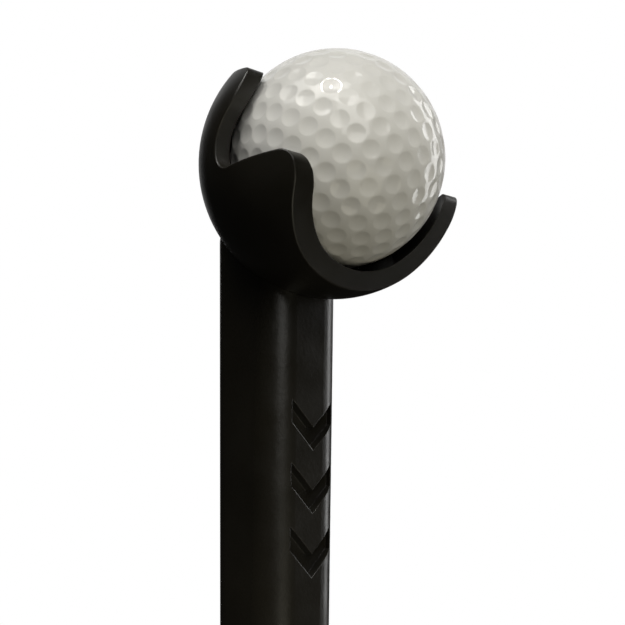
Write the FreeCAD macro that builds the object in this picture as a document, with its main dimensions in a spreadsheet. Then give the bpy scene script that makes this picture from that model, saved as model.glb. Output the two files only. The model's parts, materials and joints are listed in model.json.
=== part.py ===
import FreeCAD, Part
import math
import os

import Sketcher

# Batting tee for a small ball: a three-prong cup on a slim tapered neck, carried by a
# telescoping mast with a cam-lever clamp, standing on a weighted plate shaped like a home plate.
# The origin is on the floor, on the mast's axis. +Z is up, the cup opens towards -Y, +X is sideways.

Vector = FreeCAD.Vector

DIMENSIONS = {
    # ball and cup; "forward" is towards -Y and "rise" is +Z, both from the centre of the cup's sphere
    "ball_radius": 21.335,
    "ball_forward": 0.88,
    "ball_rise": 0.95,
    "ball_exit_angle": 28,
    "ball_exit_room": 0.35,
    "cup_radius": 26.2,
    "cavity_radius": 22.9,
    "cup_centre_height": 600,
    "cup_overhang": 17.0,
    "cup_rim_round": 0.3,
    # the side outline that cuts the cup's three prongs
    "notch_forward": -0.78,
    "notch_rise": -2.35,
    "notch_round": 3.0,
    "tip_forward": 11.05,
    "tip_rise": -6.55,
    "tip_round": 2.2,
    "lip_lean": 27.8,
    "lip_top_round": 9,
    "lip_straight": 8.4,
    "lip_foot_round": 36,
    "lip_foot_lean": 15,
    "back_edge_forward": 1.65,
    "back_tip_rise": 12.3,
    "back_tip_round": 2.0,
    "back_end_slope": 13.7,
    # gaps between pieces, and how far a cutting solid runs past what it cuts
    "running_gap": 0.05,
    "clearance": 0.1,
    "overlap": 1,
    "small_round": 0.8,
    # screws between cup and neck
    "cup_screw_offset": 4.5,
    "cup_screw_tilt": 49.5,
    "cup_screw_radius": 1.6,
    "cup_screw_length": 13,
    "cup_screw_head_radius": 3.4,
    "cup_screw_rim": 0.4,
    "cup_screw_cone": 1.8,
    "cup_screw_recess": 1.2,
    # soft pads in the cup
    "pad_radius": 3.5,
    "pad_gap": 0.3,
    "pad_back_fall": 18.4,
    "pad_side_spread": 33.5,
    # neck
    "neck_length": 150,
    "neck_foot_half": 8.5,
    "neck_round": 5.8,
    "neck_crown": 150,
    "neck_depth_taper": 1.03,
    "neck_width_taper": 0.4,
    "neck_top_drop": 9,
    "neck_top_round": 3,
    "chevron_count": 3,
    "chevron_pitch": 12,
    "chevron_half_width": 5.4,
    "chevron_aside": 1.0,
    "chevron_drop": 5.2,
    "chevron_stroke": 4.4,
    "chevron_depth": 2.2,
    "chevron_first_drop": 45.6,
    "spigot_radius": 6.3,
    "spigot_length": 38,
    "neck_screw_drop": 7,
    "neck_screw_radius": 1.55,
    "neck_screw_length": 7,
    "neck_screw_head_radius": 2.9,
    "neck_screw_head_height": 1.6,
    "neck_screw_slot": 0.7,
    # telescoping mast
    "inner_tube_radius": 8,
    "inner_tube_wall": 1.6,
    "inner_tube_foot": 50,
    "key_width": 3,
    "key_depth": 0.8,
    "key_gap": 0.25,
    "key_top": 436,
    "outer_tube_radius": 11,
    "outer_tube_wall": 1.5,
    "outer_tube_foot": 20,
    "outer_tube_top": 432,
    "tube_slot_width": 2.4,
    "tube_slot_foot": 400,
    "plug_height": 12,
    "plug_stem_length": 14,
    "plug_bore_radius": 4,
    "plug_gap": 0.08,
    "bush_foot": 372,
    "bush_flange": 2,
    "bush_flange_proud": 0.8,
    # clamp
    "collar_foot": 412,
    "collar_height": 18,
    "collar_radius": 16,
    "collar_round": 1.2,
    "collar_gap": 3,
    "ear_thickness": 6.5,
    "ear_reach": 27,
    "ear_tip_round": 2,
    "bolt_reach": 20.5,
    "bolt_radius": 2.5,
    "thread_end": 1.5,
    "nut_radius": 4.6,
    "nut_height": 4,
    "nut_turned": 0.25,
    "washer_radius": 5.5,
    "washer_thickness": 1.5,
    "pin_recess": 0.5,
    "cam_radius": 6.5,
    "cam_gap": 0.3,
    "eye_radius": 4,
    "eye_height": 8,
    "eye_gap": 0.4,
    "lever_inner_radius": 17.6,
    "lever_outer_radius": 23,
    "lever_sweep": 52,
    "lever_cheek_turn": 220,
    "lever_slot_radius": 7.5,
    # base
    "foot_height": 3,
    "foot_radius": 12,
    "foot_inset": 26,
    "foot_screw_sink": 1,
    "foot_screw_length": 9,
    "plate_width": 280,
    "plate_skirt": 8,
    "plate_thickness": 12,
    "plate_corner": 16,
    "plate_bevel": 4,
    "weight_thickness": 8,
    "weight_gap": 0.3,
    "hub_flange_radius": 35,
    "hub_flange_height": 6,
    "hub_flange_chamfer": 3,
    "hub_radius": 15.5,
    "hub_height": 55,
    "hub_top_chamfer": 2,
    "hub_blend": 5,
    "hub_stub_gap": 0.2,
    "hub_stop_height": 17.7,
    "hub_bolt_height": 28.5,
    "hub_seat_depth": 1.5,
    "hub_seat_radius": 4.8,
    "hub_screw_circle": 26,
    "hub_screw_length": 16,
    "bolt_head_radius": 4.4,
    "bolt_head_height": 3,
    "bolt_socket_radius": 2.3,
    "bolt_socket_depth": 1.5,
    "screw_radius": 2.25,
    "screw_head_radius": 4.4,
    "screw_head_height": 2.4,
    "screw_access": 1.5,
    "screw_recess": 1.6,
}

document = FreeCAD.newDocument("BattingTee")
sheet = document.addObject("Spreadsheet::Sheet", "Size")
for row, (alias, value) in enumerate(DIMENSIONS.items(), start=1):
    sheet.set(f"A{row}", alias)
    sheet.set(f"B{row}", str(value))
    sheet.setAlias(f"B{row}", alias)
document.recompute()

nodes = []


def size(alias):
    """A driving dimension as the sheet holds it."""
    return float(getattr(sheet, alias))


def bound(kind, name, formulas):
    """A document object whose properties are bound to formulas over the sheet."""
    item = document.addObject(kind, name)
    for property_name, formula in formulas.items():
        item.setExpression(property_name, formula)
    return item


def cylinder(name, radius, height, foot="0", x="0", y="0"):
    """An upright cylinder; every argument after the name is a formula."""
    return bound("Part::Cylinder", name, {
        "Radius": radius,
        "Height": height,
        "Placement.Base.x": x,
        "Placement.Base.y": y,
        "Placement.Base.z": foot,
    })


def cross_cylinder(name, radius, start, end, y, height):
    """A cylinder along X from start to end, at the given depth and height."""
    item = bound("Part::Cylinder", name, {"Radius": radius, "Height": f"({end}) - ({start})"})
    item.Placement.Rotation = FreeCAD.Rotation(Vector(0, 1, 0), 90)
    item.setExpression("Placement.Base.x", start)
    item.setExpression("Placement.Base.y", y)
    item.setExpression("Placement.Base.z", height)
    return item


def box(name, length, width, height, x, y, foot):
    """A box from its low corner, with length along X and width along Y."""
    return bound("Part::Box", name, {
        "Length": length,
        "Width": width,
        "Height": height,
        "Placement.Base.x": x,
        "Placement.Base.y": y,
        "Placement.Base.z": foot,
    })


def fuse(name, items):
    joined = document.addObject("Part::MultiFuse", name)
    joined.Shapes = items
    joined.Refine = True
    return joined


def cut(name, base, tools):
    """The base with every tool taken away."""
    result = document.addObject("Part::Cut", name)
    result.Base = base
    result.Tool = tools[0] if len(tools) == 1 else fuse(f"{name}_tools", tools)
    return result


def keep(item, label):
    """Mark an object as a finished sub-part."""
    document.recompute()
    item.Label = label
    nodes.append(item)


def own_plane(body, role):
    return next(plane for plane in body.Origin.OriginFeatures if plane.Role == role)


def new_body(name, y="0", height="0"):
    body = document.addObject("PartDesign::Body", name)
    body.setExpression("Placement.Base.y", y)
    body.setExpression("Placement.Base.z", height)
    return body


def new_sketch(body, name, role):
    sketch = body.newObject("Sketcher::SketchObject", name)
    sketch.AttachmentSupport = [(own_plane(body, role), "")]
    sketch.MapMode = "FlatFace"
    return sketch


def add_path(sketch, start, segments):
    """A closed outline: each segment is ("line", end) or ("arc", middle, end), and ends meet."""
    first = sketch.GeometryCount
    here = Vector(start[0], start[1], 0)
    for segment in segments:
        there = Vector(segment[-1][0], segment[-1][1], 0)
        if segment[0] == "line":
            sketch.addGeometry(Part.LineSegment(here, there), False)
        else:
            middle = Vector(segment[1][0], segment[1][1], 0)
            sketch.addGeometry(Part.Arc(here, middle, there), False)
        here = there
    for number in range(first, sketch.GeometryCount):
        sketch.addConstraint(Sketcher.Constraint("Block", number))


def add_circle(sketch, x, y, radius):
    """A circle with its centre and radius bound to formulas."""
    number = sketch.addGeometry(Part.Circle(Vector(1, 1, 0), Vector(0, 0, 1), 1), False)
    for kind, formula in (("DistanceX", x), ("DistanceY", y)):
        place = sketch.addConstraint(Sketcher.Constraint(kind, -1, 1, number, 3, 1.0))
        sketch.setExpression(f"Constraints[{place}]", formula)
    place = sketch.addConstraint(Sketcher.Constraint("Radius", number, 1.0))
    sketch.setExpression(f"Constraints[{place}]", radius)


def pad(body, sketch, name, length):
    item = body.newObject("PartDesign::Pad", name)
    item.Profile = sketch
    item.setExpression("Length", length)


def pocket(body, sketch, name, length, midplane=False, reverse=False):
    """A pocket that is checked to have taken material away."""
    document.recompute()
    before = body.Shape.Volume
    item = body.newObject("PartDesign::Pocket", name)
    item.Profile = sketch
    item.setExpression("Length", length)
    item.Midplane = midplane
    item.Reversed = reverse
    document.recompute()
    if body.Shape.Volume >= before:
        raise RuntimeError(f"{name} cut nothing")


def dress_edges(body, kind, name, amount, chosen):
    """A Fillet or Chamfer on the edges, in the body's own frame, that the chosen function accepts."""
    document.recompute()
    base = body.Tip
    names = [f"Edge{i}" for i, edge in enumerate(base.Shape.Edges, start=1) if chosen(edge)]
    item = body.newObject(f"PartDesign::{kind}", name)
    item.Base = (base, names)
    item.setExpression("Radius" if kind == "Fillet" else "Size", amount)


def on_circle(centre, radius, degrees):
    angle = math.radians(degrees)
    return centre[0] + radius * math.cos(angle), centre[1] + radius * math.sin(angle)


# ---------------------------------------------------------------- ball and cup

CUP_Y = "-Size.cup_overhang"
CUP_Z = "Size.cup_centre_height"
BALL_Y = "-Size.cup_overhang - Size.ball_forward"
BALL_Z = "Size.cup_centre_height + Size.ball_rise"
cup_centre = Vector(0, -size("cup_overhang"), size("cup_centre_height"))
ball_centre = cup_centre + Vector(0, -size("ball_forward"), size("ball_rise"))
exit_angle = math.radians(size("ball_exit_angle"))
exit_way = Vector(0, -math.cos(exit_angle), math.sin(exit_angle))


def sphere(name, radius, y, height):
    return bound("Part::Sphere", name, {
        "Radius": radius,
        "Placement.Base.y": y,
        "Placement.Base.z": height,
    })


def opening_outline():
    """The side outline of everything cut from the sphere, as (Y, Z) from the cup's centre.

    It runs along the end of the back prong, down its front edge in two equal arcs, round the
    notch, along the top of the side prongs, round their tips and down the lip to below the cup.
    """
    notch = (size("notch_forward"), size("notch_rise"))
    tip = (size("tip_forward"), size("tip_rise"))
    notch_round = size("notch_round")
    tip_round = size("tip_round")
    back_x = size("back_edge_forward")
    back_round = size("back_tip_round")
    back = (back_x - back_round, size("back_tip_rise"))
    slope = size("back_end_slope")
    reach = 2 * size("cup_radius")

    end_start = on_circle(back, back_round, 90 - slope)
    far_back = (-reach, end_start[1] + (reach + end_start[0]) * math.tan(math.radians(slope)))
    notch_left = (notch[0] - notch_round, notch[1])
    edge_top = (back_x, back[1])
    middle = ((notch_left[0] + edge_top[0]) / 2, (notch_left[1] + edge_top[1]) / 2)
    half_run = middle[0] - notch_left[0]
    half_rise = middle[1] - notch_left[1]
    bend = (half_run ** 2 + half_rise ** 2) / (2 * half_run)
    turn = math.degrees(math.asin(half_rise / bend))
    upper_mid = on_circle((edge_top[0] - bend, edge_top[1]), bend, -turn / 2)
    lower_mid = on_circle((notch_left[0] + bend, notch_left[1]), bend, 180 - turn / 2)

    gap_x = tip[0] - notch[0]
    gap_y = tip[1] - notch[1]
    tangent = math.degrees(math.atan2(gap_y, gap_x)
                           + math.asin((notch_round + tip_round) / math.hypot(gap_x, gap_y)))
    notch_foot = on_circle(notch, notch_round, tangent - 90)
    notch_mid = on_circle(notch, notch_round, (tangent - 90 + 180) / 2 - 180)
    tip_top = on_circle(tip, tip_round, tangent + 90)
    tip_mid = on_circle(tip, tip_round, (tangent + 90) / 2)
    tip_front = (tip[0] + tip_round, tip[1])

    lean = size("lip_lean")
    foot_lean = size("lip_foot_lean")
    top_centre = (tip_front[0] - size("lip_top_round"), tip_front[1])
    lip_top_mid = on_circle(top_centre, size("lip_top_round"), -lean / 2)
    lip_top = on_circle(top_centre, size("lip_top_round"), -lean)
    straight = size("lip_straight")
    lip_foot = (lip_top[0] - straight * math.sin(math.radians(lean)),
                lip_top[1] - straight * math.cos(math.radians(lean)))
    foot_round = size("lip_foot_round")
    foot_centre = on_circle(lip_foot, foot_round, -lean)
    foot_mid = on_circle(foot_centre, foot_round, 180 - (lean + foot_lean) / 2)
    foot_end = on_circle(foot_centre, foot_round, 180 - foot_lean)

    segments = [
        ("line", end_start),
        ("arc", on_circle(back, back_round, (90 - slope) / 2), edge_top),
        ("arc", upper_mid, middle),
        ("arc", lower_mid, notch_left),
        ("arc", notch_mid, notch_foot),
        ("line", tip_top),
        ("arc", tip_mid, tip_front),
        ("arc", lip_top_mid, lip_top),
        ("line", lip_foot),
        ("arc", foot_mid, foot_end),
        ("line", (foot_end[0], -reach)),
        ("line", (reach, -reach)),
        ("line", (reach, reach)),
        ("line", (-reach, reach)),
        ("line", far_back),
    ]
    mirrored = [(part[0],) + tuple((-x, y) for x, y in part[1:]) for part in segments]
    return (-far_back[0], far_back[1]), mirrored


def make_cup_shell():
    """A hollow sphere cut by the side outline, straight through from side to side."""
    body = new_body("CupShell", y=CUP_Y, height=CUP_Z)
    outer = size("cup_radius")
    inner = size("cavity_radius")
    half_ring = new_sketch(body, "CupSection", "YZ_Plane")
    add_path(half_ring, (0, -outer), [
        ("arc", (outer, 0), (0, outer)),
        ("line", (0, inner)),
        ("arc", (inner, 0), (0, -inner)),
        ("line", (0, -outer)),
    ])
    shell = body.newObject("PartDesign::Revolution", "CupSphere")
    shell.Profile = half_ring
    shell.ReferenceAxis = (half_ring, ["V_Axis"])
    shell.Angle = 360
    opening = new_sketch(body, "CupOpening", "YZ_Plane")
    start, segments = opening_outline()
    add_path(opening, start, segments)
    pocket(body, opening, "CupOpeningCut", "4 * Size.cup_radius", midplane=True)

    def cut_rim(edge):
        if edge.Degenerated:
            return False
        first, last = edge.FirstParameter, edge.LastParameter
        points = [edge.valueAt(first + (last - first) * step / 4) for step in range(5)]
        on_skin = all(abs(point.Length - outer) < 0.01 for point in points)
        on_seam = all(abs(point.x) < 0.01 for point in points)
        return on_skin and not on_seam

    dress_edges(body, "Fillet", "CupRimRound", "Size.cup_rim_round", cut_rim)
    return body


screw_tilt = math.radians(size("cup_screw_tilt"))
screw_way = Vector(0, math.cos(screw_tilt), -math.sin(screw_tilt))


def cup_screw(side, grow=0.0):
    """A countersunk screw from the cavity through the shell into the neck; grow makes its hole."""
    offset = side * size("cup_screw_offset")
    depth = math.sqrt(size("cavity_radius") ** 2 - offset ** 2)
    head_radius = size("cup_screw_head_radius") + grow
    shank_radius = size("cup_screw_radius") + grow
    top = cup_centre + Vector(offset, 0, 0) + screw_way * depth
    cone_top = top + screw_way * size("cup_screw_rim")
    shank_top = cone_top + screw_way * size("cup_screw_cone")
    rim = Part.makeCylinder(head_radius, size("cup_screw_rim"), top, screw_way)
    head = Part.makeCone(head_radius, shank_radius, size("cup_screw_cone"), cone_top, screw_way)
    shank = Part.makeCylinder(shank_radius, size("cup_screw_length") + grow, shank_top, screw_way)
    screw = rim.fuse([head, shank]).removeSplitter()
    if grow:
        return screw.fuse(Part.makeCylinder(head_radius, head_radius, top, -screw_way))
    recess = size("cup_screw_recess")
    return screw.cut(Part.makeCylinder(recess, recess, top, screw_way))


def shape_feature(name, shape):
    item = document.addObject("Part::Feature", name)
    item.Shape = shape
    return item


keep(sphere("Ball", "Size.ball_radius", BALL_Y, BALL_Z), "golf_ball")

cup_shell = make_cup_shell()
exit_bore = bound("Part::Cylinder", "CupExitBore", {
    "Radius": "Size.ball_radius + Size.ball_exit_room",
    "Height": "2 * Size.cup_radius",
})
exit_bore.Placement.Rotation = FreeCAD.Rotation(Vector(0, 0, 1), exit_way)
exit_bore.setExpression("Placement.Base.y", BALL_Y)
exit_bore.setExpression("Placement.Base.z", BALL_Z)
cup_holes = [
    shape_feature("CupScrewHoleLeft", cup_screw(-1, size("clearance"))),
    shape_feature("CupScrewHoleRight", cup_screw(1, size("clearance"))),
]
keep(cut("Cup", cup_shell, [exit_bore] + cup_holes), "ball_cup")
keep(shape_feature("CupScrews", Part.makeCompound([cup_screw(-1), cup_screw(1)])), "cup_screws")


def make_pads():
    """Three soft studs between the cavity and the ball, which rests just clear of them."""
    cavity = Part.makeSphere(size("cavity_radius"), cup_centre)
    room = Part.makeSphere(size("ball_radius") + size("pad_gap"), ball_centre)
    fall = math.radians(size("pad_back_fall"))
    spread = math.radians(size("pad_side_spread"))
    ways = [
        Vector(0, math.cos(fall), -math.sin(fall)),
        Vector(-math.sin(spread), 0, -math.cos(spread)),
        Vector(math.sin(spread), 0, -math.cos(spread)),
    ]
    studs = []
    for way in ways:
        stud = Part.makeCylinder(size("pad_radius"), size("cup_radius"), cup_centre, way)
        studs.append(stud.common(cavity).cut(room))
    return Part.makeCompound(studs)


keep(shape_feature("CradlePads", make_pads()), "cradle_pads")

# ---------------------------------------------------------------- neck

INWARD = Vector(0, -1, 0)
neck_foot = size("cup_centre_height") - size("neck_length")
neck_rise = size("neck_length") - size("neck_top_drop")
neck_screw_height = neck_foot - size("neck_screw_drop")


def crowned_section(half_width, half_depth, height):
    """A wire round a rectangle with slightly bulging sides and round corners.

    A corner's centre is as far from the centre of one side's arc as from the other's.
    """
    crown = size("neck_crown")
    corner = size("neck_round")
    run_x = crown - half_width
    run_y = crown - half_depth
    apart = math.hypot(run_x, run_y)
    along = math.sqrt((crown - corner) ** 2 - (apart / 2) ** 2)
    corner_x = along * run_y / apart - run_x / 2
    corner_y = along * run_x / apart - run_y / 2
    side_tilt = math.degrees(math.asin(corner_y / (crown - corner)))
    end_tilt = math.degrees(math.asin(corner_x / (crown - corner)))
    up = Vector(0, 0, 1)
    edges = []
    for turn in (0, 180):
        sign = 1 if turn == 0 else -1
        side = Vector(-sign * run_x, 0, height)
        first = Vector(sign * corner_x, sign * corner_y, height)
        end = Vector(0, -sign * run_y, height)
        second = Vector(-sign * corner_x, sign * corner_y, height)
        edges.append(Part.makeCircle(crown, side, up, turn - side_tilt, turn + side_tilt))
        edges.append(Part.makeCircle(corner, first, up, turn + side_tilt, turn + 90 - end_tilt))
        edges.append(Part.makeCircle(crown, end, up, turn + 90 - end_tilt, turn + 90 + end_tilt))
        edges.append(Part.makeCircle(corner, second, up, turn + 90 + end_tilt, turn + 180 - side_tilt))
    return Part.Wire(edges)


def chevron(height):
    """A downward chevron prism that reaches in from the neck's front."""
    taper = math.tan(math.radians(size("neck_depth_taper")))
    half_depth = size("neck_foot_half") + (height - neck_foot) * taper
    floor = -half_depth + size("chevron_depth")
    wide = size("chevron_half_width")
    drop = size("chevron_drop")
    stroke = size("chevron_stroke")
    corners = [(-wide, 0), (0, -drop), (wide, 0), (wide, -stroke), (0, -drop - stroke), (-wide, -stroke)]
    points = [Vector(size("chevron_aside") + x, floor, height + z) for x, z in corners]
    face = Part.Face(Part.makePolygon(points + points[:1]))
    return face.extrude(INWARD * (4 * size("chevron_depth")))


def neck_screw_bore(gap, tip):
    """The neck screw's hole, from outside the tube to a tip at the given depth."""
    start = Vector(0, size("inner_tube_radius") + size("overlap"), neck_screw_height)
    return Part.makeCylinder(size("neck_screw_radius") + gap, start.y - tip, start, INWARD)


def make_neck():
    """A tapered rounded post whose top is scooped to the cup, with a spigot for the tube below."""
    half = size("neck_foot_half")
    top_depth = half + neck_rise * math.tan(math.radians(size("neck_depth_taper")))
    top_width = half + neck_rise * math.tan(math.radians(size("neck_width_taper")))
    sections = [
        crowned_section(half, half, neck_foot),
        crowned_section(top_width, top_depth, neck_foot + neck_rise),
    ]
    post = Part.makeLoft(sections, True, True)
    rim = [edge for edge in post.Edges if edge.BoundBox.ZMin > neck_foot + neck_rise - 0.01]
    post = post.makeFillet(size("neck_top_round"), rim)
    spigot_length = size("spigot_length")
    post = post.fuse(Part.makeCylinder(size("spigot_radius"), spigot_length + size("overlap"),
                                       Vector(0, 0, neck_foot - spigot_length)))
    post = post.cut(Part.makeSphere(size("cup_radius"), cup_centre))
    first = size("cup_centre_height") - size("chevron_first_drop")
    for number in range(int(size("chevron_count"))):
        post = post.cut(chevron(first - number * size("chevron_pitch")))
    for side in (-1, 1):
        post = post.cut(cup_screw(side, size("clearance")))
    return post.cut(neck_screw_bore(size("running_gap"), 0)).removeSplitter()


keep(shape_feature("Neck", make_neck()), "neck_post")

# ---------------------------------------------------------------- telescoping mast

NECK_FOOT = "Size.cup_centre_height - Size.neck_length"
INNER_LENGTH = f"{NECK_FOOT} - Size.inner_tube_foot"
OUTER_INSIDE = "(Size.outer_tube_radius - Size.outer_tube_wall)"
INNER_INSIDE = "(Size.inner_tube_radius - Size.inner_tube_wall)"
BELOW_INNER = "Size.inner_tube_foot - Size.overlap"
SLOT_HEIGHT = "Size.outer_tube_top - Size.tube_slot_foot + Size.bush_flange + Size.overlap"

inner_solid = cylinder("InnerTubeSolid", "Size.inner_tube_radius", INNER_LENGTH, "Size.inner_tube_foot")
inner_bore = cylinder("InnerTubeBore", INNER_INSIDE, f"{INNER_LENGTH} + 2 * Size.overlap", BELOW_INNER)
key_groove = box("KeyGroove", "Size.key_width", "2 * Size.key_depth",
                 f"Size.key_top - ({BELOW_INNER})", "-Size.key_width / 2",
                 "Size.inner_tube_radius - Size.key_depth", BELOW_INNER)
neck_screw_hole = shape_feature("NeckScrewHole", neck_screw_bore(
    3 * size("running_gap"), size("inner_tube_radius") - 2 * size("inner_tube_wall")))
keep(cut("InnerTube", inner_solid, [inner_bore, key_groove, neck_screw_hole]), "inner_tube")


def make_neck_screw():
    """A small domed screw through the tube's wall into the spigot."""
    seat = size("inner_tube_radius") + size("clearance")
    head_height = size("neck_screw_head_height")
    dome = size("small_round")
    slot_width = size("neck_screw_slot")
    reach = 2 * size("neck_screw_head_radius")
    start = Vector(0, seat, neck_screw_height)
    shank = Part.makeCylinder(size("neck_screw_radius"), size("neck_screw_length"), start, INWARD)
    top = start - INWARD * head_height
    head = Part.makeCylinder(size("neck_screw_head_radius"), head_height, top, INWARD)
    head = head.makeFillet(dome, [edge for edge in head.Edges if edge.BoundBox.YMin > top.y - 0.01])
    corner = Vector(-slot_width / 2, top.y - dome, neck_screw_height - reach / 2)
    return shank.fuse(head).removeSplitter().cut(Part.makeBox(slot_width, dome, reach, corner))


keep(shape_feature("NeckScrew", make_neck_screw()), "neck_screw")

plug_foot = "Size.inner_tube_foot - Size.plug_height"
plug_disc = cylinder("PlugDisc", f"{OUTER_INSIDE} - Size.plug_gap", "Size.plug_height", plug_foot)
plug_stem = cylinder("PlugStem", f"{INNER_INSIDE} - Size.running_gap",
                     "Size.plug_height + Size.plug_stem_length", plug_foot)
plug_core = cylinder("PlugCore", "Size.plug_bore_radius",
                     "Size.plug_height + Size.plug_stem_length + 2 * Size.overlap",
                     f"{plug_foot} - Size.overlap")
keep(cut("Plug", fuse("PlugBody", [plug_disc, plug_stem]), [plug_core]), "tube_foot_plug")

outer_solid = cylinder("OuterTubeSolid", "Size.outer_tube_radius",
                       "Size.outer_tube_top - Size.outer_tube_foot", "Size.outer_tube_foot")
outer_bore = cylinder("OuterTubeBore", OUTER_INSIDE,
                      "Size.outer_tube_top - Size.outer_tube_foot + 2 * Size.overlap",
                      "Size.outer_tube_foot - Size.overlap")
outer_slot = box("OuterTubeSlot", "Size.tube_slot_width", "2 * Size.outer_tube_radius", SLOT_HEIGHT,
                 "-Size.tube_slot_width / 2", "Size.inner_tube_radius / 2", "Size.tube_slot_foot")
outer_cross = cross_cylinder("OuterTubeCross", "Size.bolt_radius + Size.clearance",
                             "-2 * Size.outer_tube_radius", "2 * Size.outer_tube_radius", "0",
                             "Size.hub_bolt_height")
keep(cut("OuterTube", outer_solid, [outer_bore, outer_slot, outer_cross]), "outer_tube")

bush_solid = cylinder("BushSleeve", f"{OUTER_INSIDE} - Size.running_gap",
                      "Size.outer_tube_top - Size.bush_foot + Size.overlap", "Size.bush_foot")
bush_flange = cylinder("BushFlange", "Size.outer_tube_radius + Size.bush_flange_proud",
                       "Size.bush_flange", "Size.outer_tube_top")
bush_bore = cylinder("BushBore", "Size.inner_tube_radius + Size.running_gap",
                     "Size.outer_tube_top - Size.bush_foot + Size.bush_flange + 2 * Size.overlap",
                     "Size.bush_foot - Size.overlap")
bush_slot = box("BushSlot", "Size.tube_slot_width", "2 * Size.outer_tube_radius", SLOT_HEIGHT,
                "-Size.tube_slot_width / 2", "-Size.inner_tube_radius / 2 - 2 * Size.outer_tube_radius",
                "Size.tube_slot_foot")
bush_ring = cut("BushRing", fuse("BushBody", [bush_solid, bush_flange]), [bush_bore, bush_slot])
bush_key = box("BushKey", "Size.key_width - 2 * Size.key_gap", "Size.key_depth + Size.key_gap",
               "Size.outer_tube_top - Size.bush_foot", "Size.key_gap - Size.key_width / 2",
               "Size.inner_tube_radius - Size.key_depth + Size.key_gap", "Size.bush_foot")
keep(fuse("Bush", [bush_ring, bush_key]), "guide_bush")

# ---------------------------------------------------------------- clamp

COLLAR_MIDDLE = "(Size.collar_foot + Size.collar_height / 2)"
EAR_FACE = "(Size.collar_gap / 2 + Size.ear_thickness)"
WASHER_FACE = f"({EAR_FACE} + Size.washer_thickness)"
CAM_X = f"({WASHER_FACE} + Size.cam_gap + Size.cam_radius)"
BOLT_END = f"-{EAR_FACE} - Size.nut_height - Size.thread_end"
EYE_FOOT = f"{COLLAR_MIDDLE} - Size.eye_height / 2"
ear_face = size("collar_gap") / 2 + size("ear_thickness")
cam_x = ear_face + size("washer_thickness") + size("cam_gap") + size("cam_radius")
cam_centre = (cam_x, size("bolt_reach"))


def upright_edge(edge):
    return edge.BoundBox.ZLength > 1 and edge.BoundBox.XLength < 0.01 and edge.BoundBox.YLength < 0.01


def make_collar():
    """A split ring round the tube with two ears behind it and a cross hole for the bolt."""
    body = new_body("Collar", height="Size.collar_foot")
    plan = new_sketch(body, "CollarPlan", "XY_Plane")
    ring = size("collar_radius")
    gap = size("collar_gap") / 2
    reach = size("ear_reach")
    inner = size("outer_tube_radius") + size("running_gap")
    ear_root = math.sqrt(ring ** 2 - ear_face ** 2)
    bore_gap = math.sqrt(inner ** 2 - gap ** 2)
    add_path(plan, (gap, bore_gap), [
        ("line", (gap, reach)),
        ("line", (ear_face, reach)),
        ("line", (ear_face, ear_root)),
        ("arc", (0, -ring), (-ear_face, ear_root)),
        ("line", (-ear_face, reach)),
        ("line", (-gap, reach)),
        ("line", (-gap, bore_gap)),
        ("arc", (0, -inner), (gap, bore_gap)),
    ])
    pad(body, plan, "CollarPad", "Size.collar_height")
    cross = new_sketch(body, "CollarCross", "YZ_Plane")
    add_circle(cross, "Size.bolt_reach", "Size.collar_height / 2", "Size.bolt_radius + Size.clearance")
    pocket(body, cross, "CollarHole", "4 * Size.collar_radius", midplane=True)

    def ear_tip(edge):
        return upright_edge(edge) and edge.BoundBox.YMin > reach - 0.01

    def outer_rim(edge):
        level = edge.BoundBox.ZLength < 0.01
        return level and edge.BoundBox.YMin < -ring + 0.01

    dress_edges(body, "Fillet", "CollarEarTips", "Size.ear_tip_round", ear_tip)
    dress_edges(body, "Fillet", "CollarRound", "Size.collar_round", outer_rim)
    return body


keep(make_collar(), "clamp_collar")


def hex_nut(name, start, depth, height):
    """A hexagon nut along X, its corners turned off, bored for a bolt."""
    hexagon = bound("Part::Prism", f"{name}Hex", {
        "Circumradius": "Size.nut_radius",
        "Height": "Size.nut_height",
        "Placement.Base.x": start,
        "Placement.Base.y": depth,
        "Placement.Base.z": height,
    })
    hexagon.Polygon = 6
    hexagon.Placement.Rotation = FreeCAD.Rotation(Vector(0, 1, 0), 90)
    turning = bound("Part::Cylinder", f"{name}Turning", {
        "Radius": "Size.nut_radius - Size.nut_turned",
        "Height": "Size.nut_height",
        "Placement.Base.x": start,
        "Placement.Base.y": depth,
        "Placement.Base.z": height,
    })
    turning.Placement.Rotation = FreeCAD.Rotation(Vector(0, 1, 0), 90)
    blank = document.addObject("Part::Common", f"{name}Blank")
    blank.Base = hexagon
    blank.Tool = turning
    bore = cross_cylinder(f"{name}Bore", "Size.bolt_radius + Size.running_gap",
                          f"{start} - Size.overlap", f"{start} + Size.nut_height + Size.overlap",
                          depth, height)
    return cut(name, blank, [bore])


bolt_shank = cross_cylinder("BoltShank", "Size.bolt_radius", BOLT_END, CAM_X, "Size.bolt_reach",
                            COLLAR_MIDDLE)
bolt_eye = cylinder("BoltEye", "Size.eye_radius", "Size.eye_height", EYE_FOOT, CAM_X, "Size.bolt_reach")
eye_bore = cylinder("EyeBore", "Size.bolt_radius + Size.running_gap",
                    "Size.eye_height + 2 * Size.overlap", f"{EYE_FOOT} - Size.overlap", CAM_X,
                    "Size.bolt_reach")
keep(cut("Bolt", fuse("BoltBody", [bolt_shank, bolt_eye]), [eye_bore]), "clamp_bolt")

keep(hex_nut("Nut", f"-{EAR_FACE} - Size.nut_height", "Size.bolt_reach", COLLAR_MIDDLE), "clamp_nut")

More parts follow.
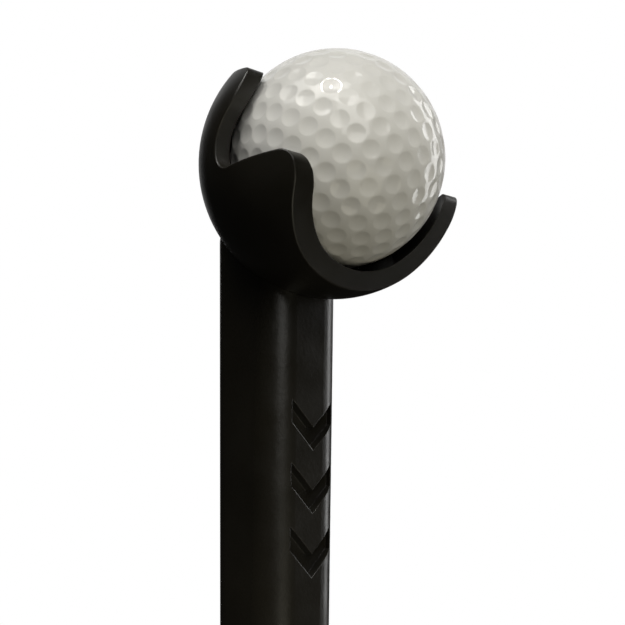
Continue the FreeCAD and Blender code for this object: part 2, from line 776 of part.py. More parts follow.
washer_disc = cross_cylinder("WasherDisc", "Size.washer_radius", EAR_FACE, WASHER_FACE,
                             "Size.bolt_reach", COLLAR_MIDDLE)
washer_bore = cross_cylinder("WasherBore", "Size.bolt_radius + Size.clearance",
                             f"{EAR_FACE} - Size.overlap", f"{WASHER_FACE} + Size.overlap",
                             "Size.bolt_reach", COLLAR_MIDDLE)
keep(cut("Washer", washer_disc, [washer_bore]), "clamp_washer")

keep(cylinder("LeverPin", "Size.bolt_radius", "Size.collar_height - 2 * Size.pin_recess",
              "Size.collar_foot + Size.pin_recess", CAM_X, "Size.bolt_reach"), "lever_pin")


def make_lever():
    """A cam lever: round cheeks on the pin, and an arm that follows the collar's side."""
    body = new_body("Lever", height="Size.collar_foot")
    plan = new_sketch(body, "LeverPlan", "XY_Plane")
    inner = size("lever_inner_radius")
    outer = size("lever_outer_radius")
    sweep = size("lever_sweep")
    cam = size("cam_radius")
    cheek = size("lever_cheek_turn")
    end_turn = math.degrees((outer - inner) / (outer + inner))
    axis = (0, 0)
    add_path(plan, on_circle(cam_centre, cam, 0), [
        ("arc", on_circle(cam_centre, cam, cheek / 2), on_circle(cam_centre, cam, cheek)),
        ("line", on_circle(axis, inner, 0)),
        ("arc", on_circle(axis, inner, -sweep / 2), on_circle(axis, inner, -sweep)),
        ("arc", on_circle(axis, (inner + outer) / 2, -sweep - end_turn), on_circle(axis, outer, -sweep)),
        ("arc", on_circle(axis, outer, -sweep / 2), on_circle(axis, outer, 0)),
        ("line", on_circle(cam_centre, cam, 0)),
    ])
    pad(body, plan, "LeverPad", "Size.collar_height")
    pin_hole = new_sketch(body, "LeverPinPlan", "XY_Plane")
    add_circle(pin_hole, CAM_X, "Size.bolt_reach", "Size.bolt_radius + Size.running_gap")
    pocket(body, pin_hole, "LeverPinHole", "Size.collar_height + Size.overlap", reverse=True)
    return body


lever_body = make_lever()
lever_slot = cylinder("LeverSlot", "Size.lever_slot_radius", "Size.eye_height + 2 * Size.eye_gap",
                      f"{EYE_FOOT} - Size.eye_gap", CAM_X, "Size.bolt_reach")
keep(cut("LeverCut", lever_body, [lever_slot]), "clamp_lever")

# ---------------------------------------------------------------- base

PLATE_TOP = "(Size.foot_height + Size.plate_thickness)"
HALF_MITRE = math.tan(math.radians(22.5))
plate_top = size("foot_height") + size("plate_thickness")


def plate_corners(inset):
    """Home plate corners: a square front half and a pointed back, moved in by inset.

    The plate is set back by half of what its rounded point loses, so that the mast is central.
    """
    half = size("plate_width") / 2
    set_back = size("plate_corner") * (math.sqrt(2) - 1) / 2
    side = half - inset
    front = set_back - side
    shoulder = set_back - inset * HALF_MITRE
    apex = set_back + half - inset * math.sqrt(2)
    return [(-side, front), (side, front), (side, shoulder), (0, apex), (-side, shoulder)]


def plate_sketch(body, name, inset):
    sketch = new_sketch(body, name, "XY_Plane")
    corners = plate_corners(inset)
    add_path(sketch, corners[0], [("line", point) for point in corners[1:] + corners[:1]])
    return sketch


def plate_top_edge(edge):
    return edge.BoundBox.ZMin > size("plate_thickness") - 0.01


def screw_places():
    """The hub's four screws, on the plate's diagonals."""
    return [on_circle((0, 0), size("hub_screw_circle"), 45 + 90 * i) for i in range(4)]


def foot_places():
    """One foot inside each corner of the plate."""
    return plate_corners(size("foot_inset"))


def countersunk(place, top, length, grow=0.0):
    """A countersunk screw pointing down from the given top; grow makes its hole, open above."""
    head_radius = size("screw_head_radius") + grow
    head_height = size("screw_head_height")
    radius = size("screw_radius") + grow
    start = Vector(place[0], place[1], top)
    down = Vector(0, 0, -1)
    head = Part.makeCone(head_radius, radius, head_height, start, down)
    shank = Part.makeCylinder(radius, length - head_height + grow, start + down * head_height, down)
    if grow:
        access = Part.makeCylinder(head_radius, size("screw_access"), start, -down)
        return access.fuse([head, shank])
    recess = size("screw_recess")
    return head.fuse(shank).removeSplitter().cut(Part.makeCylinder(recess, recess, start, down))


def foot_screw(place, grow=0.0):
    """A countersunk screw up through a foot into the weight; grow makes its hole."""
    screw = countersunk(place, -size("foot_screw_sink"), size("foot_screw_length"), grow)
    screw.rotate(Vector(place[0], place[1], 0), Vector(1, 0, 0), 180)
    return screw


def fused_tools(name, shapes):
    return shape_feature(name, shapes[0].fuse(shapes[1:]))


hub_top = plate_top + size("hub_flange_height")
hub_screw_length = size("hub_screw_length")
hub_holes = [countersunk(place, hub_top, hub_screw_length, size("clearance")) for place in screw_places()]
foot_holes = [foot_screw(place, size("clearance")) for place in foot_places()]

cover_body = new_body("CoverBody", height="Size.foot_height")
pad(cover_body, plate_sketch(cover_body, "CoverPlan", 0), "CoverPad", "Size.plate_thickness")
dress_edges(cover_body, "Fillet", "CoverCorners", "Size.plate_corner", upright_edge)
dress_edges(cover_body, "Chamfer", "CoverBevel", "Size.plate_bevel", plate_top_edge)
recess_plan = plate_sketch(cover_body, "CoverRecessPlan", size("plate_skirt"))
pocket(cover_body, recess_plan, "CoverRecess", "Size.weight_thickness", reverse=True)
keep(cut("Cover", cover_body, [fused_tools("CoverHoles", hub_holes)]), "base_cover")

weight_body = new_body("WeightBody", height="Size.foot_height")
weight_plan = plate_sketch(weight_body, "WeightPlan", size("plate_skirt") + size("weight_gap"))
pad(weight_body, weight_plan, "WeightPad", "Size.weight_thickness")
weight_holes = fused_tools("WeightHoles", hub_holes + foot_holes)
keep(cut("Weight", weight_body, [weight_holes]), "base_weight")

feet = []
for place, hole in zip(foot_places(), foot_holes):
    disc = Part.makeCylinder(size("foot_radius"), size("foot_height"), Vector(place[0], place[1], 0))
    lower_rim = [edge for edge in disc.Edges if edge.BoundBox.ZMax < 0.01]
    feet.append(disc.makeFillet(size("small_round"), lower_rim).cut(hole))
keep(shape_feature("Feet", Part.makeCompound(feet)), "foot_pads")
keep(shape_feature("FootScrews", Part.makeCompound([foot_screw(place) for place in foot_places()])),
     "foot_screws")
hub_screw_shapes = [countersunk(place, hub_top, hub_screw_length) for place in screw_places()]
keep(shape_feature("HubScrews", Part.makeCompound(hub_screw_shapes)), "hub_screws")


def make_hub():
    """A turned flange and socket; an inner stub centres the tube and stops the mast."""
    body = new_body("HubBody", height=PLATE_TOP)
    section = new_sketch(body, "HubSection", "XZ_Plane")
    flange = size("hub_flange_radius")
    flange_chamfer = size("hub_flange_chamfer")
    rise = size("hub_flange_height")
    boss = size("hub_radius")
    top = size("hub_height")
    top_chamfer = size("hub_top_chamfer")
    socket = size("outer_tube_radius") + size("running_gap")
    stub = size("outer_tube_radius") - size("outer_tube_wall") - size("hub_stub_gap")
    floor = size("outer_tube_foot") - plate_top
    stub_top = floor + size("hub_stop_height")
    blend = size("hub_blend")
    blend_centre = (boss + blend, rise + blend)
    add_path(section, (0, 0), [
        ("line", (flange, 0)),
        ("line", (flange, rise - flange_chamfer)),
        ("line", (flange - flange_chamfer, rise)),
        ("line", (boss + blend, rise)),
        ("arc", on_circle(blend_centre, blend, 225), (boss, rise + blend)),
        ("line", (boss, top - top_chamfer)),
        ("line", (boss - top_chamfer, top)),
        ("line", (socket, top)),
        ("line", (socket, floor)),
        ("line", (stub, floor)),
        ("line", (stub, stub_top)),
        ("line", (0, stub_top)),
        ("line", (0, 0)),
    ])
    turned = body.newObject("PartDesign::Revolution", "HubTurned")
    turned.Profile = section
    turned.ReferenceAxis = (section, ["V_Axis"])
    turned.Angle = 360
    return body


SEAT_FACE = "(Size.hub_radius - Size.hub_seat_depth)"
HUB_SIDE = "Size.hub_flange_radius"

hub_body = make_hub()
hub_cross = cross_cylinder("HubCross", "Size.bolt_radius + Size.clearance", f"-{HUB_SIDE}", HUB_SIDE, "0",
                           "Size.hub_bolt_height")
head_seat = cross_cylinder("HubHeadSeat", "Size.hub_seat_radius", SEAT_FACE, HUB_SIDE, "0",
                           "Size.hub_bolt_height")
nut_seat = cross_cylinder("HubNutSeat", "Size.hub_seat_radius", f"-{HUB_SIDE}", f"-{SEAT_FACE}", "0",
                          "Size.hub_bolt_height")
hub_tools = [hub_cross, head_seat, nut_seat, fused_tools("HubHoles", hub_holes)]
keep(cut("Hub", hub_body, hub_tools), "base_hub")

hub_shank = cross_cylinder("HubBoltShank", "Size.bolt_radius",
                           f"-{SEAT_FACE} - Size.nut_height - Size.thread_end", "Size.hub_radius", "0",
                           "Size.hub_bolt_height")
hub_head = cross_cylinder("HubBoltHead", "Size.bolt_head_radius", SEAT_FACE,
                          f"{SEAT_FACE} + Size.bolt_head_height", "0", "Size.hub_bolt_height")
hub_socket = bound("Part::Prism", "HubBoltSocket", {
    "Circumradius": "Size.bolt_socket_radius",
    "Height": "Size.bolt_head_height",
    "Placement.Base.x": f"{SEAT_FACE} + Size.bolt_head_height - Size.bolt_socket_depth",
    "Placement.Base.z": "Size.hub_bolt_height",
})
hub_socket.Polygon = 6
hub_socket.Placement.Rotation = FreeCAD.Rotation(Vector(0, 1, 0), 90)
keep(cut("HubBolt", fuse("HubBoltBody", [hub_shank, hub_head]), [hub_socket]), "hub_bolt")

keep(hex_nut("HubNut", f"-{SEAT_FACE} - Size.nut_height", "0", "Size.hub_bolt_height"), "hub_nut")

# ---------------------------------------------------------------- check and write

document.recompute()
for item in document.Objects:
    if "Invalid" in item.State or "Error" in item.State:
        raise RuntimeError(f"{item.Name} failed: {item.State}")
for item in nodes:
    if item.Shape.isNull() or not item.Shape.isValid():
        raise RuntimeError(f"{item.Label} has no valid shape")

os.makedirs("parts", exist_ok=True)
for item in nodes:
    item.Shape.exportStep(f"parts/{item.Label}.step")
    print(item.Label, round(item.Shape.Volume, 1), "mm3,", len(item.Shape.Solids), "solids")
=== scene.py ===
import json
import math

import bpy
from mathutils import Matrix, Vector
from mathutils.geometry import delaunay_2d_cdt


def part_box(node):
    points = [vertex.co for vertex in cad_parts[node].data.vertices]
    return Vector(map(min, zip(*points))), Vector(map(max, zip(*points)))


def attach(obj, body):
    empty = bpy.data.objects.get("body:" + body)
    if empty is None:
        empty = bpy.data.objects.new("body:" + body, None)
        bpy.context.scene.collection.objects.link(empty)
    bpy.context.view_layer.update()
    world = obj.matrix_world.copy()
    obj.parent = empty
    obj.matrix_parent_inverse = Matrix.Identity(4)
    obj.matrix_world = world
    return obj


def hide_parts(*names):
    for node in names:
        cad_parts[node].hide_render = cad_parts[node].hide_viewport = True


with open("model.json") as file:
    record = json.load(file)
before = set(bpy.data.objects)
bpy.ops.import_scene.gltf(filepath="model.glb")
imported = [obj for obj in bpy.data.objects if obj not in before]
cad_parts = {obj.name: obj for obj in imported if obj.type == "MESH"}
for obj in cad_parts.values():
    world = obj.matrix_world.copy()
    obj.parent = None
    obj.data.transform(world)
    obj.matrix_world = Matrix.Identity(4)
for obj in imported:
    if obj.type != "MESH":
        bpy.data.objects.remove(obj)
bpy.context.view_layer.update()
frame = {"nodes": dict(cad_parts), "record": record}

# The looks of the batting tee: a dimpled ball in its cup, the moulded neck, the mast with its
# clamp and the weighted plate. Everything is in metres, in the CAD model's own frame.

MM = 0.001


def middle(node):
    low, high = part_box(node)
    return (low + high) / 2


# the CAD ball gives the place and size of the dimpled one
BALL_CENTRE = middle("golf_ball")
BALL_RADIUS = (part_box("golf_ball")[1].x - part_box("golf_ball")[0].x) / 2

# ---------------------------------------------------------------- camera

VIEW_AZIMUTH = math.radians(-42.02)
VIEW_RISE = math.radians(9.41)
# in millimetres, as Blender's cameras take them
LENS = 58.16
SENSOR = 36
# where the ball lies in the camera's own axes
BALL_ASIDE = 4.55 * MM
BALL_ABOVE = 29.82 * MM
BALL_AWAY = 198.0 * MM

forward = Vector((-math.sin(VIEW_AZIMUTH) * math.cos(VIEW_RISE),
                  math.cos(VIEW_AZIMUTH) * math.cos(VIEW_RISE), math.sin(VIEW_RISE)))
right = Vector((math.cos(VIEW_AZIMUTH), math.sin(VIEW_AZIMUTH), 0))
upward = right.cross(forward)


def in_view(aside, above, away):
    """A point measured from the ball along the view's own axes."""
    return BALL_CENTRE + right * aside + upward * above + forward * away


camera_data = bpy.data.cameras.new("camera")
camera_data.sensor_width = SENSOR
camera_data.lens = LENS
camera_data.clip_start = 0.01
camera_data.clip_end = 100
camera = bpy.data.objects.new("camera", camera_data)
camera.location = in_view(-BALL_ASIDE, -BALL_ABOVE, -BALL_AWAY)
camera.rotation_euler = forward.to_track_quat("-Z", "Y").to_euler()
bpy.context.scene.collection.objects.link(camera)
bpy.context.scene.camera = camera

# ---------------------------------------------------------------- studio

bpy.context.scene.view_settings.view_transform = "Standard"

WHITE = (1.0, 1.0, 1.0)
DAYLIGHT = (1.0, 0.99, 0.95)
BOUNCED = (1.0, 0.95, 0.76)
ROOM = (1.0, 0.98, 0.94)
ROOM_STRENGTH = 0.012


def studio_light(name, azimuth, rise, share, width, height, colour=WHITE, distance=1.1):
    """A soft light aimed at the ball, at so many degrees to the view's right and above its level.

    Its share is how bright it makes a white card that faces it.
    """
    azimuth = math.radians(azimuth)
    rise = math.radians(rise)
    level = distance * math.cos(rise)
    aside = level * math.sin(azimuth)
    nearer = level * math.cos(azimuth)
    place = in_view(aside, distance * math.sin(rise), -nearer)
    data = bpy.data.lights.new(name, "AREA")
    data.energy = share * math.pi ** 2 * distance ** 2
    data.color = colour
    data.shape = "RECTANGLE"
    data.size = width
    data.size_y = height
    light = bpy.data.objects.new(name, data)
    light.location = place
    light.rotation_euler = (BALL_CENTRE - place).to_track_quat("-Z", "Y").to_euler()
    light.visible_camera = False
    bpy.context.scene.collection.objects.link(light)
    return light


# a small lamp that only shows as a reflection
sparkle = studio_light("sparkle", -12.1, 71.2, 0.24, 0.06, 0.06, DAYLIGHT)
sparkle.visible_diffuse = False
studio_light("key", -14, 66, 0.38, 0.6, 0.5, DAYLIGHT)
studio_light("front_top", 20, 37, 0.39, 0.55, 0.8, DAYLIGHT)
studio_light("left_top", -58, 62, 0.24, 0.6, 0.5, DAYLIGHT)
studio_light("low_front", 32, -32, 0.20, 0.4, 0.4, BOUNCED, distance=0.6)
studio_light("right_rim", 122, 8, 0.36, 0.30, 1.2)
studio_light("back_wall", 180, 24, 0.26, 1.2, 1.1)


def build_world():
    """White where the camera looks past the object, and nearly dark as the room's own light."""
    world = bpy.data.worlds.new("studio")
    world.use_nodes = True
    tree = world.node_tree
    tree.nodes.clear()
    path = tree.nodes.new("ShaderNodeLightPath")
    room = tree.nodes.new("ShaderNodeBackground")
    room.inputs["Color"].default_value = (*ROOM, 1)
    room.inputs["Strength"].default_value = ROOM_STRENGTH
    paper = tree.nodes.new("ShaderNodeBackground")
    paper.inputs["Color"].default_value = (*WHITE, 1)
    choose = tree.nodes.new("ShaderNodeMixShader")
    output = tree.nodes.new("ShaderNodeOutputWorld")
    tree.links.new(path.outputs["Is Camera Ray"], choose.inputs[0])
    tree.links.new(room.outputs[0], choose.inputs[1])
    tree.links.new(paper.outputs[0], choose.inputs[2])
    tree.links.new(choose.outputs[0], output.inputs[0])
    bpy.context.scene.world = world


build_world()

# ---------------------------------------------------------------- materials

BEVEL_SAMPLES = 6


def scaled(colour, factor, lift=0.0):
    """A colour made lighter or darker by a factor, and lifted by an amount, up to white."""
    return tuple(min(1, part * factor + lift) for part in colour)


class Nodes:
    """A material's node tree with short ways to add and join nodes."""

    def __init__(self, name):
        self.material = bpy.data.materials.new(name)
        self.material.use_nodes = True
        self.tree = self.material.node_tree
        self.shader = self.tree.nodes["Principled BSDF"]
        self.place = self.add("ShaderNodeTexCoord").outputs["Object"]

    def add(self, kind, **inputs):
        node = self.tree.nodes.new(kind)
        for key, value in inputs.items():
            node.inputs[key].default_value = value
        return node

    def join(self, source, target):
        self.tree.links.new(source, target)

    def maths(self, operation, *values):
        """A Math node on sockets or plain numbers."""
        node = self.add("ShaderNodeMath")
        node.operation = operation
        for socket, value in zip(node.inputs, values):
            if isinstance(value, (int, float)):
                socket.default_value = value
            else:
                self.join(value, socket)
        return node.outputs[0]

    def noise(self, scale, detail=3.0, stretch=None, roughness=0.5):
        """Noise over the object's own metres; a stretch scales each axis first."""
        node = self.add("ShaderNodeTexNoise", Scale=scale, Detail=detail, Roughness=roughness)
        place = self.place
        if stretch:
            mapping = self.add("ShaderNodeMapping", Scale=stretch)
            self.join(place, mapping.inputs["Vector"])
            place = mapping.outputs[0]
        self.join(place, node.inputs["Vector"])
        return node.outputs["Fac"]

    def spread(self, value, low=0.3, high=0.7, to_low=0.0, to_high=1.0):
        """Maps low..high, by default the middle of a noise's range, to the new range."""
        node = self.add("ShaderNodeMapRange")
        node.inputs["From Min"].default_value = low
        node.inputs["From Max"].default_value = high
        node.inputs["To Min"].default_value = to_low
        node.inputs["To Max"].default_value = to_high
        self.join(value, node.inputs["Value"])
        return node.outputs["Result"]

    def blend(self, factor, first, second):
        """A colour between two, each a colour or a socket."""
        node = self.add("ShaderNodeMix")
        node.data_type = "RGBA"
        self.join(factor, node.inputs["Factor"])
        # the node has sockets for numbers and vectors before these two for colours
        first_colour, second_colour = node.inputs[6], node.inputs[7]
        for socket, value in ((first_colour, first), (second_colour, second)):
            if isinstance(value, tuple):
                socket.default_value = (*value, 1)
            else:
                self.join(value, socket)
        return node.outputs[2]

    def bevel(self, radius):
        """The surface's normal with its sharp edges rounded by that radius in metres."""
        node = self.add("ShaderNodeBevel", Radius=radius)
        node.samples = BEVEL_SAMPLES
        return node.outputs[0]

    def relief(self, height, depth, rounding=0.0):
        """Bump of that depth in metres, on edges that are softened by the rounding radius."""
        node = self.add("ShaderNodeBump", Distance=depth)
        self.join(height, node.inputs["Height"])
        if rounding:
            self.join(self.bevel(rounding), node.inputs["Normal"])
        return node.outputs["Normal"]

    def edges(self, width):
        """About 1 along sharp edges and 0 on flat faces."""
        geometry = self.add("ShaderNodeNewGeometry")
        compare = self.add("ShaderNodeVectorMath")
        compare.operation = "DOT_PRODUCT"
        self.join(self.bevel(width), compare.inputs[0])
        self.join(geometry.outputs["Normal"], compare.inputs[1])
        return self.spread(compare.outputs["Value"], low=0.99, high=0.80)

    def finish(self, colour, roughness, normal):
        self.join(colour, self.shader.inputs["Base Color"])
        self.join(roughness, self.shader.inputs["Roughness"])
        self.join(normal, self.shader.inputs["Normal"])
        return self.material


def moulded(name, colour, roughness, grain=1800, grain_depth=0.02 * MM):
    """Moulded plastic: fine spark-eroded grain, faint flow marks and edges rubbed a little shinier."""
    nodes = Nodes(name)
    flow = nodes.noise(scale=35, detail=4)
    base = nodes.blend(nodes.spread(flow), scaled(colour, 0.75), scaled(colour, 1.25))
    patches = nodes.spread(nodes.noise(scale=420), low=0.40, high=0.65)
    rubbed = nodes.maths("MULTIPLY", nodes.edges(0.35 * MM), patches)
    base = nodes.blend(rubbed, base, scaled(colour, 1.5, lift=0.005))
    cloud = nodes.noise(scale=160)
    rough = nodes.spread(cloud, 0.25, 0.75, roughness - 0.05, roughness + 0.05)
    rough = nodes.maths("MULTIPLY_ADD", rubbed, -0.08, rough)
    normal = nodes.relief(nodes.noise(grain, detail=2), grain_depth, rounding=0.25 * MM)
    return nodes.finish(base, rough, normal)


def build_ball_white():
    """Clear-coated white: slight mottle, faint scuffs and a nearly smooth coat."""
    nodes = Nodes("ball_white")
    shader = nodes.shader
    shader.inputs["Coat Weight"].default_value = 0.60
    shader.inputs["Coat Roughness"].default_value = 0.02
    shader.inputs["Specular IOR Level"].default_value = 0.15
    mottle = nodes.spread(nodes.noise(scale=120, detail=4))
    base = nodes.blend(mottle, BALL_DULL, BALL_BRIGHT)
    scuff = nodes.noise(scale=90, detail=6, stretch=(1, 1, 3), roughness=0.7)
    scuff = nodes.spread(scuff, low=0.62, high=0.72)
    base = nodes.blend(scuff, base, BALL_SCUFFED)
    rough = nodes.spread(nodes.noise(scale=260, detail=4), to_low=0.46, to_high=0.56)
    rough = nodes.maths("MULTIPLY_ADD", scuff, 0.15, rough)
    normal = nodes.relief(nodes.noise(scale=900, detail=2), 0.004 * MM)
    return nodes.finish(base, rough, normal)


def metal(name, colour, roughness, stretch=None, line=900):
    """Bare or plated metal with fine drawn lines along its stretched axis, and a painted highlight
    along its edges.
    """
    nodes = Nodes(name)
    nodes.shader.inputs["Metallic"].default_value = 1.0
    lines = nodes.noise(line, stretch=stretch)
    cloud = nodes.spread(nodes.noise(scale=60))
    base = nodes.blend(cloud, scaled(colour, 0.82), colour)
    # every sharp edge is painted a quarter lighter: a painted highlight along the edges
    base = nodes.blend(nodes.edges(0.25 * MM), base, scaled(colour, 1.25))
    rough = nodes.spread(lines, to_low=roughness - 0.07, to_high=roughness + 0.08)
    normal = nodes.relief(lines, 0.004 * MM, rounding=0.2 * MM)
    return nodes.finish(base, rough, normal)


def coated(name, colour, roughness, peel=700, depth=0.02 * MM):
    """Powder coat or black anodising: orange peel, and edges worn towards the metal."""
    nodes = Nodes(name)
    orange_peel = nodes.noise(peel, detail=2)
    cloud = nodes.spread(nodes.noise(scale=45, detail=4))
    base = nodes.blend(cloud, scaled(colour, 0.8), scaled(colour, 1.25))
    chips = nodes.spread(nodes.noise(scale=600, detail=4, roughness=0.7), low=0.55, high=0.66)
    pale_edges = nodes.maths("MULTIPLY", nodes.edges(0.3 * MM), chips)
    base = nodes.blend(pale_edges, base, BARE_METAL)
    rough = nodes.spread(orange_peel, to_low=roughness - 0.05, to_high=roughness + 0.07)
    normal = nodes.relief(orange_peel, depth, rounding=0.3 * MM)
    return nodes.finish(base, rough, normal)


def rubber(name, colour):
    """Rubber: matte, pebbled, with dust in the hollows of its grain and edges painted pale as a
    highlight.
    """
    nodes = Nodes(name)
    nodes.shader.inputs["Specular IOR Level"].default_value = 0.35
    pebble = nodes.noise(scale=1400, detail=2)
    cloud = nodes.noise(scale=22, detail=5)
    fading = nodes.spread(cloud, low=0.35, high=0.7)
    base = nodes.blend(fading, colour, scaled(colour, 1.5, lift=0.004))
    dust = nodes.spread(pebble, low=0.55, high=0.30, to_high=0.5)
    base = nodes.blend(dust, base, scaled(colour, 1.9, lift=0.01))
    # every edge is painted paler: a painted highlight along the edges
    pale_edges = nodes.spread(nodes.edges(0.5 * MM), low=0, high=1, to_high=0.6)
    base = nodes.blend(pale_edges, base, scaled(colour, 2.2, lift=0.012))
    rough = nodes.spread(cloud, to_low=0.67, to_high=0.83)
    normal = nodes.relief(pebble, 0.05 * MM, rounding=0.5 * MM)
    return nodes.finish(base, rough, normal)


BALL_DULL = (0.77, 0.76, 0.725)
BALL_BRIGHT = (0.82, 0.81, 0.775)
BALL_SCUFFED = (0.73, 0.72, 0.68)
BARE_METAL = (0.20, 0.20, 0.20)
CUP_BLACK = (0.0095, 0.0082, 0.0054)
NYLON = (0.014, 0.014, 0.014)
HUB_BLACK = (0.012, 0.012, 0.012)
RUBBER = (0.020, 0.020, 0.020)
PLATE_RUBBER = (0.018, 0.018, 0.0175)
ZINC = (0.56, 0.55, 0.52)
ALUMINIUM = (0.66, 0.67, 0.68)
BLACKENED = (0.022, 0.022, 0.024)
TUBE_COAT = (0.014, 0.014, 0.014)
ANODISED = (0.018, 0.018, 0.019)
CAST_IRON = (0.05, 0.05, 0.05)
# drawn along Z
DRAWN = (1, 1, 0.03)

SLOT_MATERIALS = {
    "ball_white": build_ball_white(),
    "cup_black": moulded("cup_black", CUP_BLACK, 0.40, grain=2200, grain_depth=0.006 * MM),
    "neck_black": moulded("neck_black", CUP_BLACK, 0.35, grain=1300, grain_depth=0.03 * MM),
    "soft_rubber": rubber("soft_rubber", RUBBER),
    "zinc_steel": metal("zinc_steel", ZINC, 0.34),
    "black_steel": coated("black_steel", BLACKENED, 0.42, peel=1500, depth=0.008 * MM),
    "satin_aluminium": metal("satin_aluminium", ALUMINIUM, 0.30, stretch=DRAWN, line=2500),
    "nylon_black": moulded("nylon_black", NYLON, 0.50),
    "black_coat": coated("black_coat", TUBE_COAT, 0.40),
    "collar_black": coated("collar_black", ANODISED, 0.36, peel=1100, depth=0.01 * MM),
    "lever_black": coated("lever_black", ANODISED, 0.34, peel=1100, depth=0.01 * MM),
    "plate_rubber": rubber("plate_rubber", PLATE_RUBBER),
    "cast_weight": coated("cast_weight", CAST_IRON, 0.55, peel=350, depth=0.08 * MM),
    "hub_black": moulded("hub_black", HUB_BLACK, 0.46, grain=1200, grain_depth=0.03 * MM),
}

for part in frame["record"]["subparts"]:
    mesh = frame["nodes"][part["node"]].data
    mesh.materials.clear()
    mesh.materials.append(SLOT_MATERIALS[part["material_slot"]])


def add_piece(name, points, faces, body, slot):
    """A smooth mesh that rides on a body and wears a slot's material."""
    mesh = bpy.data.meshes.new(name)
    mesh.from_pydata(points, [], faces)
    mesh.update()
    mesh.shade_smooth()
    mesh.materials.append(SLOT_MATERIALS[slot])
    piece = bpy.data.objects.new(name, mesh)
    bpy.context.scene.collection.objects.link(piece)
    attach(piece, body)
    return piece


# ---------------------------------------------------------------- dimpled ball

ROW_STEP = math.radians(11.7)
ROWS_PER_SIDE = 8
DIMPLE_PITCH = 3.9 * MM
DIMPLE_RADIUS = 1.80 * MM
DIMPLE_DEPTH = 0.24 * MM
# the pole of the dimple rows, and the direction from which each row starts, square to it
POLE = Vector((-0.672, 0.154, -0.7245)).normalized()
ROUGH_START = Vector((-0.6225, 0.4126, 0.665))
START = (ROUGH_START - POLE * POLE.dot(ROUGH_START)).normalized()
TURN = START.cross(POLE)
# how far along its first pitch each row starts, from the middle of the ball to the pole
NEAR_STARTS = (0.42, -0.43, -0.05, -0.03, 0.45, 0.1, 0.6, 0.0)
FAR_STARTS = (-0.12, -0.06, 0.4, 0.1, 0.7, 0.3, 0.0, 0.0)
# rings of points round a dimple: distance over its radius, number of points, share of its depth
RINGS = (
    (0.0, 1, 1.0),
    (0.25, 6, 0.94),
    (0.48, 12, 0.77),
    (0.70, 18, 0.50),
    (0.86, 24, 0.24),
    (0.95, 28, 0.085),
    (1.0, 30, 0.025),
    (1.06, 30, 0.0),
)
# points this close are one point where the flattened ball is meshed
MERGE_DISTANCE = 1e-9


def on_ball(latitude, longitude):
    """The unit vector at a latitude and longitude about the pole."""
    around = START * math.cos(longitude) + TURN * math.sin(longitude)
    return around * math.cos(latitude) + POLE * math.sin(latitude)


def dimple_places():
    """The unit vector of every dimple: even rows each side of the ball's middle."""
    places = []
    for side, starts in ((1, NEAR_STARTS), (-1, FAR_STARTS)):
        for row in range(ROWS_PER_SIDE):
            latitude = (row + 0.5) * ROW_STEP
            round_length = 2 * math.pi * BALL_RADIUS * math.cos(latitude)
            count = max(1, round(round_length / DIMPLE_PITCH))
            for number in range(count):
                longitude = 2 * math.pi * (number + starts[row]) / count
                places.append(on_ball(side * latitude, longitude))
    return places


def dimple_rings():
    """Each point of the skin as a unit vector, with how deep it lies under the ball's sphere."""
    directions = []
    depths = []
    for place in dimple_places():
        across = place.orthogonal().normalized()
        aside = place.cross(across)
        for reach, count, share in RINGS:
            angle = reach * DIMPLE_RADIUS / BALL_RADIUS
            for number in range(count):
                # rings whose points divide by four are turned half a step
                half_step = 0.5 if count % 4 == 0 else 0.0
                turn = 2 * math.pi * (number + half_step) / count
                around = across * math.cos(turn) + aside * math.sin(turn)
                directions.append(place * math.cos(angle) + around * math.sin(angle))
                depths.append(share * DIMPLE_DEPTH)
    return directions, depths


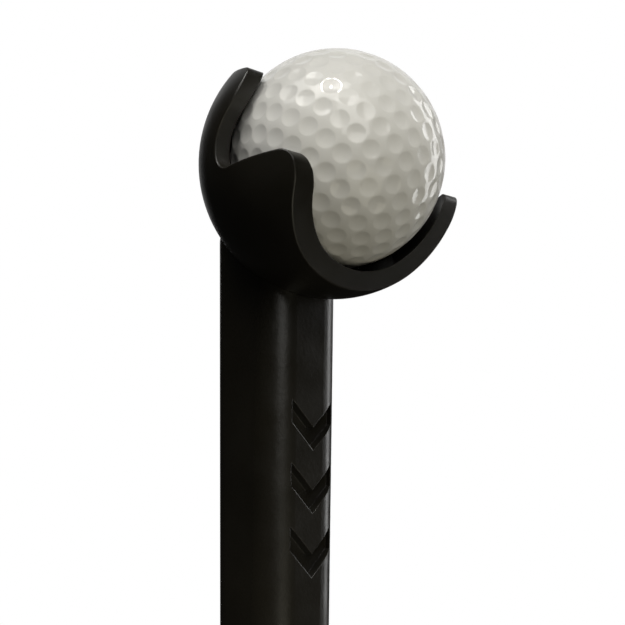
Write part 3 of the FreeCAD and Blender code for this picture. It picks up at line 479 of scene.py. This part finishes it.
def sphere_triangles(directions):
    """A Delaunay mesh of points on a sphere, made by flattening it as seen from the first point.

    Seen from there circles stay circles. The first point itself closes the hole that is left.
    """
    centre = directions[0]
    across = centre.orthogonal().normalized()
    aside = centre.cross(across)
    flat = []
    for direction in directions[1:]:
        away = 1 - direction.dot(centre)
        flat.append(Vector((direction.dot(across) / away, direction.dot(aside) / away)))
    _, _, faces, kept, _, _ = delaunay_2d_cdt(flat, [], [], 0, MERGE_DISTANCE, True)
    order = [ids[0] + 1 for ids in kept]
    triangles = [tuple(order[i] for i in face) for face in faces]
    # a dict keeps the sides in order, so the mesh is the same each time
    sides = dict.fromkeys(pair for face in triangles for pair in zip(face, face[1:] + face[:1]))
    triangles += [(b, a, 0) for a, b in sides if (b, a) not in sides]
    corner, next_corner, last_corner = (directions[i] for i in triangles[0])
    outward = (next_corner - corner).cross(last_corner - corner).dot(corner) > 0
    if not outward:
        triangles = [face[::-1] for face in triangles]
    return triangles


def build_ball():
    directions, depths = dimple_rings()
    triangles = sphere_triangles(directions)
    points = [BALL_CENTRE + d * (BALL_RADIUS - depth) for d, depth in zip(directions, depths)]
    ball = add_piece("dimpled_ball", points, triangles, "ball", "ball_white")
    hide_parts("golf_ball")


build_ball()

# ---------------------------------------------------------------- floor

FLOOR_REACH = 30
FLOOR_GREY = (0.80, 0.80, 0.80)
FLOOR_ROUGHNESS = 0.9
# how far from the object the floor starts to turn white, and where it is all white
FADE_START = 0.5
FADE_END = 3.0


def build_floor():
    """A pale floor that brightens to white away from the object."""
    signs = ((-1, -1), (1, -1), (1, 1), (-1, 1))
    corners = [(x * FLOOR_REACH, y * FLOOR_REACH, 0) for x, y in signs]
    mesh = bpy.data.meshes.new("floor")
    mesh.from_pydata(corners, [], [(0, 1, 2, 3)])
    floor = bpy.data.objects.new("floor", mesh)
    floor.visible_glossy = False
    floor.visible_diffuse = False
    bpy.context.scene.collection.objects.link(floor)
    nodes = Nodes("floor")
    nodes.shader.inputs["Base Color"].default_value = (*FLOOR_GREY, 1)
    nodes.shader.inputs["Roughness"].default_value = FLOOR_ROUGHNESS
    length = nodes.add("ShaderNodeVectorMath")
    length.operation = "LENGTH"
    nodes.join(nodes.place, length.inputs[0])
    far = nodes.spread(length.outputs["Value"], FADE_START, FADE_END)
    white = nodes.add("ShaderNodeEmission", Strength=1.0)
    mix = nodes.add("ShaderNodeMixShader")
    output = nodes.tree.nodes["Material Output"]
    nodes.join(far, mix.inputs[0])
    nodes.join(nodes.shader.outputs[0], mix.inputs[1])
    nodes.join(white.outputs[0], mix.inputs[2])
    nodes.join(mix.outputs[0], output.inputs["Surface"])
    mesh.materials.append(nodes.material)


build_floor()
